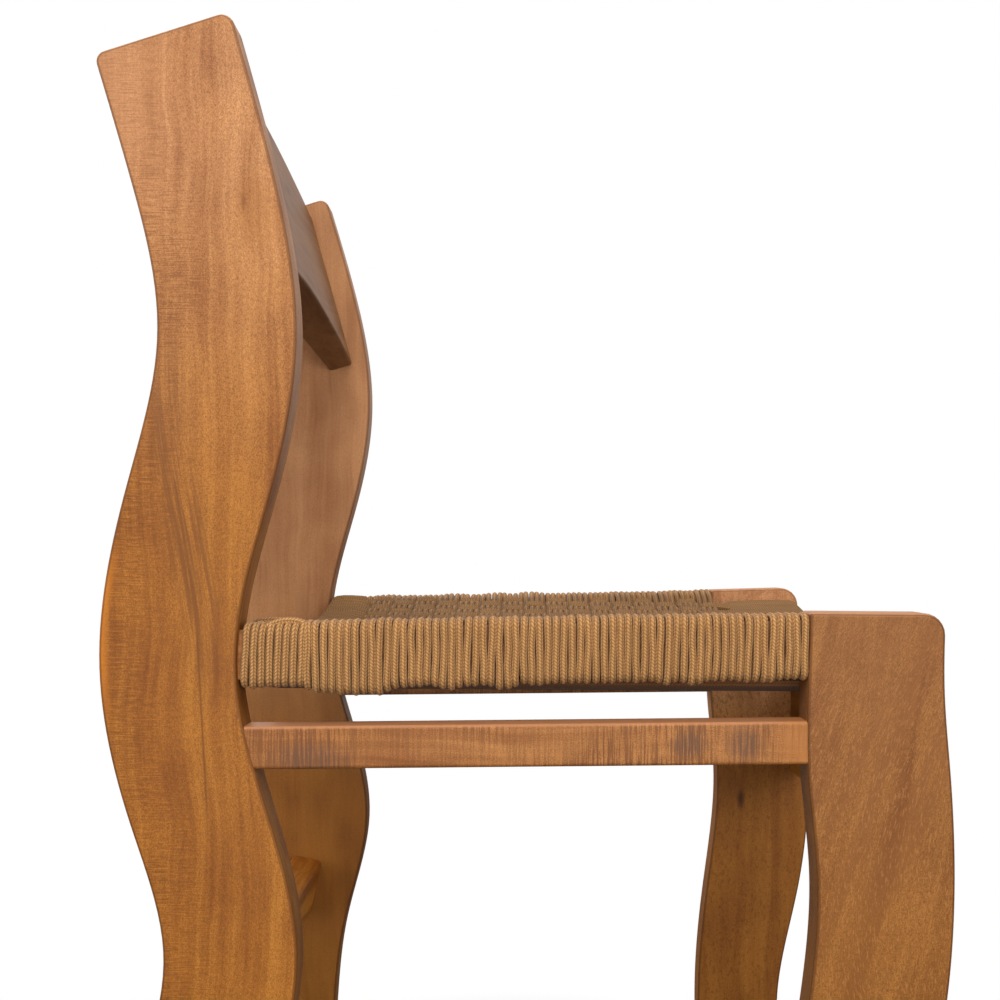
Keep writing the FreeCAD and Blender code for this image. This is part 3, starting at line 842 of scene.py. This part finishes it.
# Cord: the radius of its bends round the rails, how far a turn reaches below a side rail and over
# it, and a small gap
CORD_SIDES = 8
BEND = 0.0052
SHORT_BEND = 0.0045
UNDER_REACH = 0.011
OVER_REACH = 0.005
OFF = 0.0001
# The weave: points on each cell, a cord's swing over and under the others, and how much more it
# swings towards the seat's sides
CELL_POINTS = 4
CELL_STEEPNESS = 1.7
CELL_SINK = 0.0005
SWING = 1.04 * RADIUS
SIDE_SWELL, SWELL_FROM, SWELL_OVER = 0.6, 0.13, 0.04
# How far the cord strays upwards and sideways, and the noise's waves to the metre
STRAY_UP, UP_WAVES = 0.0004, 30
STRAY_SIDE, SIDE_WAVES = 0.0009, 14
ROUND_WAVES = 60
# Turns that hang lower under the near rail: middle, half width and depth
HANGING = ((-0.111, 0.034, 0.0046), (-0.048, 0.01, 0.0026), (-0.013, 0.01, 0.0026))
# How much the turns hang below the near and the far rail and lump above them: side, stray's seed,
# least sag, then the noise of the sag and of the lumps by turn (step, seed, most)
RAIL_SIDES = ((-1, 0, 0.0008, (0.33, 4.2, 0.005), (0.25, 7.7, 0.002)),
              (1, 40, 0.0004, (0.33, 9.6, 0.0035), (0.15, 2.9, 0.0036)))
SHORT_SAG, SHORT_SAG_STEP, SHORT_SAG_MOST, SHORT_STRAY = 0.0006, 0.4, 0.002, 0.0006


def dip(y):
    """How far the seat dips at a place across it."""
    return SEAT_DISH * (1 - (y / INNER) ** 2)


def hold(height, low, high):
    return max(low, min(high, height))


def woven(position):
    """Over and under: 1 in even cells, -1 in odd ones, with short slopes between them."""
    return hold(CELL_STEEPNESS * sin(pi * position), -1, 1)


def side_swell(y):
    return 1 + SIDE_SWELL * hold((abs(y) - SWELL_FROM) / SWELL_OVER, 0, 1)


def wobble(seed, place, size):
    return noise.noise(Vector((seed * 7.31, place, 0.37))) * size


def unevenness(turn, step, seed, most, layer=0):
    """How much a turn differs from an even winding."""
    return abs(noise.noise(Vector((turn * step, seed, layer)))) * most


def arc(centre, radius, angles):
    """Points on a round about a centre, as (across, up) or (forward, up) places."""
    return [(centre[0] + radius * cos(angle), centre[1] + radius * sin(angle)) for angle in angles]


def corner(centre, radius, start):
    """Five points on a quarter round, from an angle in degrees on."""
    return arc(centre, radius, [radians(start + 90 * i / 4) for i in range(5)])


def bend(centre, start, *angles):
    """Points of a cross turn as it goes forward round a rail's edge."""
    return arc(centre, BEND, [start - angle for angle in angles])


def side_place(turn):
    return CORD_REAR + (turn + 0.5) * SIDE_PITCH


def cross_place(turn):
    return -INNER + CROSS_CLEAR + (turn + 0.5) * CROSS_PITCH


def rail_top(x):
    return run_height(RAIL_TOP_REAR, RAIL_RISE, x)


def middle_height(x, y):
    """The height of the weave's middle."""
    share = (x - REAR_RAIL[0]) / (FRONT_RAIL[1] - REAR_RAIL[0])
    return REAR_RAIL_TOP + (FRONT_RAIL_TOP - REAR_RAIL_TOP) * share - CELL_SINK - dip(y)


def droop(x):
    """How much lower the loose turns hang under the near rail, at a place along it."""
    return max(depth * max(0, 1 - ((x - middle) / wide) ** 2) for middle, wide, depth in HANGING)


def side_section(x, sag, lump=0):
    """The cord's way over and round a side rail, from below its outer face to its inner top."""
    outer = RAIL_OUTER + RADIUS
    low, high = rail_top(x) - RAIL_HEIGHT - RADIUS - sag, rail_top(x) + RADIUS + lump
    points = [(outer - UNDER_REACH, low + 2 * OFF)]
    points += corner((outer - BEND, low + BEND), BEND, -90)
    points += [(outer + OFF, low + (high - low) * share) for share in (0.3, 0.45, 0.6, 0.75)]
    points += corner((outer - BEND, high - BEND), BEND, 0)
    points.append((RAIL_INNER + OVER_REACH, high + OFF))
    return points


# Beside the rails the woven cord swings less, and rises to lie on them
WEAVE_INSET = 0.002
EDGE_SWING, EDGE_OVER = 0.25, 0.008
RAIL_OVER = 0.012
RAIL_SINK = 0.0015


def side_weave(turn, x):
    """The woven stretch of a side-to-side turn, from the near rail to the far one."""
    group = (turn - SHORT_TURNS) // SIDE_GROUP
    sign = 1 if group % 2 == 0 else -1
    cells = CROSS_TURNS // CROSS_GROUP
    steps = cells * CELL_POINTS
    points = []
    for i in range(steps + 1):
        y = -INNER + WEAVE_INSET + 2 * (INNER - WEAVE_INSET) * i / steps
        position = cells * (y + INNER) / (2 * INNER)
        edge = hold((INNER - abs(y)) / EDGE_OVER, 0, 1)
        share = 1 - EDGE_SWING + EDGE_SWING * edge
        rise = sign * woven(position) * SWING * share * side_swell(y)
        level = middle_height(x, y) + rise + wobble(turn, y * UP_WAVES, STRAY_UP)
        by_rail = 1 - hold((INNER - abs(y)) / RAIL_OVER, 0, 1)
        level += (max(rail_top(x) + RADIUS - RAIL_SINK, level) - level) * by_rail
        points.append((x + wobble(turn + 90, y * SIDE_WAVES, STRAY_SIDE), y, level))
    return points


# The way back below the seat: its steps, and how far it is held up between the rails
BACK_STEPS = 16
BACK_LIFT, LIFT_BEYOND, LIFT_OVER = 0.0055, 0.004, 0.025


def round_side_rail(turn, x, side, seed, least, sag, lump):
    """The way of a side-to-side turn round the near or the far rail, from below it to the seat."""
    hang = droop(x) if side < 0 else 0
    section = side_section(x, least + unevenness(turn, *sag) + hang, unevenness(turn, *lump))
    return [(x + wobble(turn + seed, z * ROUND_WAVES, STRAY_SIDE), side * across, z)
            for across, z in section]


def side_run():
    """The cord wound from side to side: every turn goes over both side rails and back below."""
    path = []
    for turn in range(SHORT_TURNS, SIDE_TURNS):
        x = side_place(turn)
        near, far = (round_side_rail(turn, x, *side) for side in RAIL_SIDES)
        path += near + side_weave(turn, x) + far[::-1]
        if turn == SIDE_TURNS - 1:
            break
        low = rail_top(x) - RAIL_HEIGHT - RADIUS
        for i in range(BACK_STEPS + 1):
            share = i / BACK_STEPS
            y = (RAIL_INNER - LIFT_BEYOND) * (1 - 2 * share)
            lift = BACK_LIFT * hold((INNER + LIFT_BEYOND - abs(y)) / LIFT_OVER, 0, 1)
            path.append((x + SIDE_PITCH * share, y, low + lift))
    return path


def short_run(side):
    """The first turns, which go round the side rail alone."""
    path = []
    for turn in range(SHORT_TURNS):
        x = side_place(turn)
        uneven = unevenness(turn, SHORT_SAG_STEP, side, SHORT_SAG_MOST, layer=2)
        ring = side_section(x, SHORT_SAG + uneven)
        inner = RAIL_INNER - RADIUS + SHORT_BEND
        ring += corner((inner, rail_top(x) + RADIUS - SHORT_BEND), SHORT_BEND, 90)
        ring += corner((inner, rail_top(x) - RAIL_HEIGHT - RADIUS + SHORT_BEND), SHORT_BEND, 180)
        for i, (across, z) in enumerate(ring):
            stray = wobble(turn + side, z * ROUND_WAVES, SHORT_STRAY)
            path.append((x + SIDE_PITCH * i / len(ring) + stray, side * across, z))
    return path


# The strand that strays: its ends along the rail, and how far they are tucked in and its middle
# lies outwards and up
STRAND = (-0.1675, -0.1375)
STRAND_STEPS = 16
STRAND_TUCK, STRAND_OUT, STRAND_UP, STRAND_ROUND = 0.003, 0.0035, 0.0058, 0.6


def loose_strand():
    """A strand that strays along the top of the near rail's first turns."""
    path = []
    for i in range(STRAND_STEPS + 1):
        share = i / STRAND_STEPS
        x = STRAND[0] + (STRAND[1] - STRAND[0]) * share
        lift = sin(pi * share) ** STRAND_ROUND
        path.append((x, -RAIL_OUTER + STRAND_OUT * lift,
                     rail_top(x) + RADIUS - STRAND_TUCK + STRAND_UP * lift))
    return path


# The gap beside the far front leg: how far the cords are drawn aside, from where across the seat,
# and where along it this grows and ends, over which stretches
DRAWN_MOST, DRAWN_FROM = 0.014, 0.15
DRAWN_REAR, DRAWN_FRONT = (0.15, 0.03), (0.232, 0.046)


def drawn_in(x, y):
    """How far the loose cords beside the far front leg are drawn away from it."""
    beside = hold((y - DRAWN_FROM) / (INNER - DRAWN_FROM), 0, 1)
    along = min((x - DRAWN_REAR[0]) / DRAWN_REAR[1], (DRAWN_FRONT[0] - x) / DRAWN_FRONT[1])
    return DRAWN_MOST * beside * hold(along, 0, 1)


# Cross turns near the planks lie higher on the rear rail, some more than others
HIGHER_FROM, HIGHER_OVER, HIGHER, HIGHER_UNEVEN = 0.165, 0.03, 0.0012, 0.0015
REAR_RISE, FRONT_SINK, FIRST_SHIFT = 1.4, 0.0014, 0.0015
CROSS_STRAY, CROSS_SHIFT = 0.0007, 0.0003
CROSS_STEPS = 9


def round_rear_rail(y, swell):
    """The way of a cross turn up behind the rear rail and over it, as (forward, up) places."""
    low = REAR_RAIL_TOP - RAIL_HEIGHT - dip(y) - RADIUS
    top = REAR_RAIL_TOP - dip(y) + RADIUS
    rear = REAR_RAIL[0] - RADIUS
    points = [(rear + BEND, low)] + bend((rear + BEND, low + BEND), -pi / 2, 0.4, 0.8, 1.2)
    points += [(rear, low + (top - low) * share) for share in (0.3, 0.5, 0.7)]
    points += bend((rear + BEND, top + swell - BEND), pi, 0.2, 0.6, 1, 1.4)
    points += [(REAR_RAIL[0] + (REAR_RAIL[1] - REAR_RAIL[0]) * share,
                top + swell * REAR_RISE * lift)
               for share, lift in ((0.25, 1), (0.5, 1), (0.8, 0.8))]
    return points


def round_front_rail(x, y):
    """The way of a cross turn from a place on the seat over the front rail and below it."""
    low = FRONT_RAIL_TOP - RAIL_HEIGHT - dip(y) - RADIUS
    top = FRONT_RAIL_TOP - dip(y) + RADIUS
    front = FRONT_RAIL[1] + RADIUS
    points = [(x + (FRONT_RAIL[0] - x) * share, top - FRONT_SINK + FRONT_SINK * share)
              for share in (0.3, 0.65, 1)]
    points += bend((front - BEND, top - BEND), pi / 2, 0.1, 0.5, 0.9, 1.3)
    points += [(front, low + (top - low) * share) for share in (0.7, 0.5, 0.3)]
    points += bend((front - BEND, low + BEND), 0, 0.2, 0.6, 1, 1.4)
    return points


def cross_weave(turn, y):
    """The woven stretch of a cross turn, from the rear rail to the front one."""
    sign = -1 if turn // CROSS_GROUP % 2 == 0 else 1
    cells = (SIDE_TURNS - SHORT_TURNS) / SIDE_GROUP
    points = []
    for i in range(int(cells * CELL_POINTS) + 1):
        position = i / CELL_POINTS
        x = FIRST_WOVEN + position * SIDE_GROUP * SIDE_PITCH
        if i == 0:
            x += FIRST_SHIFT
        rise = sign * woven(position) * SWING * side_swell(y)
        stray = wobble(turn, x * UP_WAVES, STRAY_UP)
        points.append((x, middle_height(x, y) + rise + stray))
    return points


def cross_run():
    """The cord wound from front to back, woven over and under the side-to-side turns."""
    path = []
    for turn in range(CROSS_TURNS):
        y = cross_place(turn)
        swell = (HIGHER * hold((abs(y) - HIGHER_FROM) / HIGHER_OVER, 0, 1)
                 + abs(wobble(turn, 3.3, HIGHER_UNEVEN)))
        way = round_rear_rail(y, swell) + cross_weave(turn, y)
        way += round_front_rail(way[-1][0], y)
        shift = wobble(turn + 11, 1.7, CROSS_SHIFT)
        path += [(x, y + wobble(turn + 60, x * SIDE_WAVES, CROSS_STRAY) + shift
                  - drawn_in(x, y), z) for x, z in way]
        if turn == CROSS_TURNS - 1:
            break
        here = FRONT_RAIL_TOP - RAIL_HEIGHT - dip(y) - RADIUS
        there = REAR_RAIL_TOP - RAIL_HEIGHT - dip(cross_place(turn + 1)) - RADIUS
        for i in range(1, CROSS_STEPS):
            share = i / CROSS_STEPS
            x = FRONT_RAIL[0] + (REAR_RAIL[1] - FRONT_RAIL[0]) * share
            path.append((x, y + CROSS_PITCH * share, here + (there - here) * share))
    return path


def cord_mesh(*paths):
    """Round cords along paths of points, with a map of length and place round the cord."""
    corners, faces, map_places = [], [], []
    for path in paths:
        points = [Vector(point) for point in path]
        first = len(corners)
        normal = None
        travelled = [0]
        for here, there in zip(points, points[1:]):
            travelled.append(travelled[-1] + (there - here).length)
        for i, point in enumerate(points):
            ahead = (points[min(i + 1, len(points) - 1)] - points[max(i - 1, 0)]).normalized()
            if normal is None:
                normal = ahead.orthogonal()
            normal = (normal - ahead * normal.dot(ahead)).normalized()
            other = ahead.cross(normal)
            for side in range(CORD_SIDES):
                angle = 2 * pi * side / CORD_SIDES
                out = normal * cos(angle) + other * sin(angle)
                corners.append(point + out * PRESSED_RADIUS)
        for i in range(len(points) - 1):
            row = first + i * CORD_SIDES
            ends = travelled[i:i + 2]
            for side in range(CORD_SIDES):
                after = (side + 1) % CORD_SIDES
                faces.append((row + side, row + after, row + CORD_SIDES + after,
                              row + CORD_SIDES + side))
                left, right = side / CORD_SIDES, (side + 1) / CORD_SIDES
                map_places += [(ends[0], left), (ends[0], right), (ends[1], right), (ends[1], left)]
        for row, turned in ((first, True), (first + (len(points) - 1) * CORD_SIDES, False)):
            ring = [row + side for side in range(CORD_SIDES)]
            faces.append(tuple(ring[::-1] if turned else ring))
            map_places += [(0, 0)] * CORD_SIDES
    mesh = bpy.data.meshes.new("cord")
    mesh.from_pydata(corners, [], faces)
    layer = mesh.uv_layers.new(name="cord")
    for loop, place in enumerate(map_places):
        layer.data[loop].uv = place
    mesh.validate()
    mesh.shade_smooth()
    return add("cord", mesh)


def make_seat():
    finish_piece(cord_mesh(side_run()), "side_to_side_cord", "seat_cord",
                 cord_finish("seat_cord_side", below=0.395), "woven_seat")
    finish_piece(cord_mesh(short_run(-1), short_run(1), loose_strand()), "side_rail_cord",
                 "wrap_cord", cord_finish("seat_cord_wrap", seed=4),
                 "cord_wrap_right", "cord_wrap_left")
    finish_piece(cord_mesh(cross_run()), "front_to_back_cord", "wrap_cord",
                 cord_finish("seat_cord_cross", seed=8, below=0.408),
                 "cord_wrap_rear", "cord_wrap_front")


def dress_rails():
    """The rails are hidden in the cord and keep the solids' shape."""
    cross_finish = wood("rail_wood", "y", 51)
    side_finish = wood("side_rail_wood", "x", 57, STRETCHER_WEAR_SHEEN)
    for name in ("rear_rail", "front_rail"):
        dress(bpy.data.objects[name], cross_finish)
    for name in ("side_rail_right", "side_rail_left"):
        dress(bpy.data.objects[name], side_finish)


# Stage. The floor is pale to the camera and dim to all other rays, and glows to white away from the
# chair, so that it meets the background without a line.
FLOOR_SIZE = 24
FLOOR_LEVEL = -0.0005
FLOOR_PALE = (0.86, 0.86, 0.86, 1)
FLOOR_DIM = (0.16, 0.16, 0.16, 1)
FLOOR_GLOW = (0.26, 0.4, 0.35, 1)
SOFT_LIGHT = (0.96, 0.98, 1, 1)
SOFT_STRENGTH = 0.13
MIRRORED_WHITE = 0.95
WARM_LAMP = (1, 0.98, 0.95)
COOL_LAMP = (0.97, 0.98, 1)
WHITE_LAMP = (1, 1, 1)
# The lamps: place, the height above the chair's middle that they aim at, size, power and colour
LAMPS = {"key": ((-0.3, -2, 2.4), 0.4, 1.5, 56, WARM_LAMP),
         "left": ((-2.4, -0.9, 0.8), 0.4, 1.4, 20, WARM_LAMP),
         "front": ((-0.2, -2.6, 0.15), 0.4, 1.5, 33, WARM_LAMP),
         "side": ((0.9, -2.4, 0.9), 0.45, 1.2, 26, WARM_LAMP),
         "fill": ((2.6, -0.4, 1.1), 0.45, 1.6, 10, COOL_LAMP),
         "top": ((0.2, 0.4, 2.6), 0.4, 1.6, 25, WHITE_LAMP),
         "back": ((-1.6, 2.4, 1.6), 0.4, 1.6, 30, WHITE_LAMP)}
# The camera, as fitted to the photograph. Its turns are in degrees.
CAMERA_PLACE = (-0.009, -1.0671, 0.4904)
CAMERA_TURNS = ((0.2, "Z"), (-2.32, "X"), (-0.46, "Y"), (90, "X"))
CAMERA_SENSOR = 36
CAMERA_LENS = 48.24
CAMERA_SHIFT = (-0.0098, 0.1)
CAMERA_CLIP = (0.01, 60)


def make_floor():
    bpy.ops.mesh.primitive_plane_add(size=FLOOR_SIZE, location=(0, 0, FLOOR_LEVEL))
    floor = bpy.context.object
    floor.name = "floor"
    recipe = Recipe(bpy.data.materials.new("pale_floor"))
    x, y, _ = recipe.parts(recipe.place())
    away = (x ** 2 + y ** 2) ** 0.5
    seen = recipe.ray("Camera")
    colour = recipe.mix(seen, FLOOR_DIM, FLOOR_PALE)
    matt = recipe.node("ShaderNodeBsdfDiffuse", inputs={"Color": colour})
    glow = recipe.node("ShaderNodeEmission", inputs={"Color": WHITE, "Strength": 1})
    floor.data.materials.append(recipe.blended(seen * away.step(*FLOOR_GLOW), matt, glow))


def make_world():
    """Soft light from all round, and a white background for the camera and mirrored rays."""
    world = bpy.data.worlds.new("studio")
    bpy.context.scene.world = world
    recipe = Recipe(world, "ShaderNodeOutputWorld")
    seen = recipe.ray("Camera")
    mirrored = recipe.ray("Glossy")
    light = {"Color": SOFT_LIGHT, "Strength": SOFT_STRENGTH}
    soft = recipe.node("ShaderNodeBackground", inputs=light)
    white = recipe.node("ShaderNodeBackground", inputs={"Color": WHITE})
    recipe.blended((mirrored * MIRRORED_WHITE + seen).clamp(), soft, white)


def make_lights():
    for name, (place, aim, size, power, colour) in LAMPS.items():
        data = bpy.data.lights.new(name, "AREA")
        data.shape = "DISK"
        data.size = size
        data.energy = power
        data.color = colour
        light = add(name, data)
        light.location = place
        light.rotation_mode = "QUATERNION"
        way = Vector((0, 0, aim)) - Vector(place)
        light.rotation_quaternion = way.to_track_quat("-Z", "Y")


def make_camera():
    data = bpy.data.cameras.new("camera")
    data.sensor_width = CAMERA_SENSOR
    data.lens = CAMERA_LENS
    data.shift_x, data.shift_y = CAMERA_SHIFT
    data.clip_start, data.clip_end = CAMERA_CLIP
    camera = add("camera", data)
    place = Matrix.Translation(CAMERA_PLACE)
    for angle, axis in CAMERA_TURNS:
        place = place @ Matrix.Rotation(radians(angle), 4, axis)
    camera.matrix_world = place
    bpy.context.scene.camera = camera


make_camera()
make_world()
make_lights()
make_floor()
make_legs()
make_stretchers()
make_backrest()
make_seat()
dress_rails()
bpy.context.scene.view_settings.view_transform = "Standard"
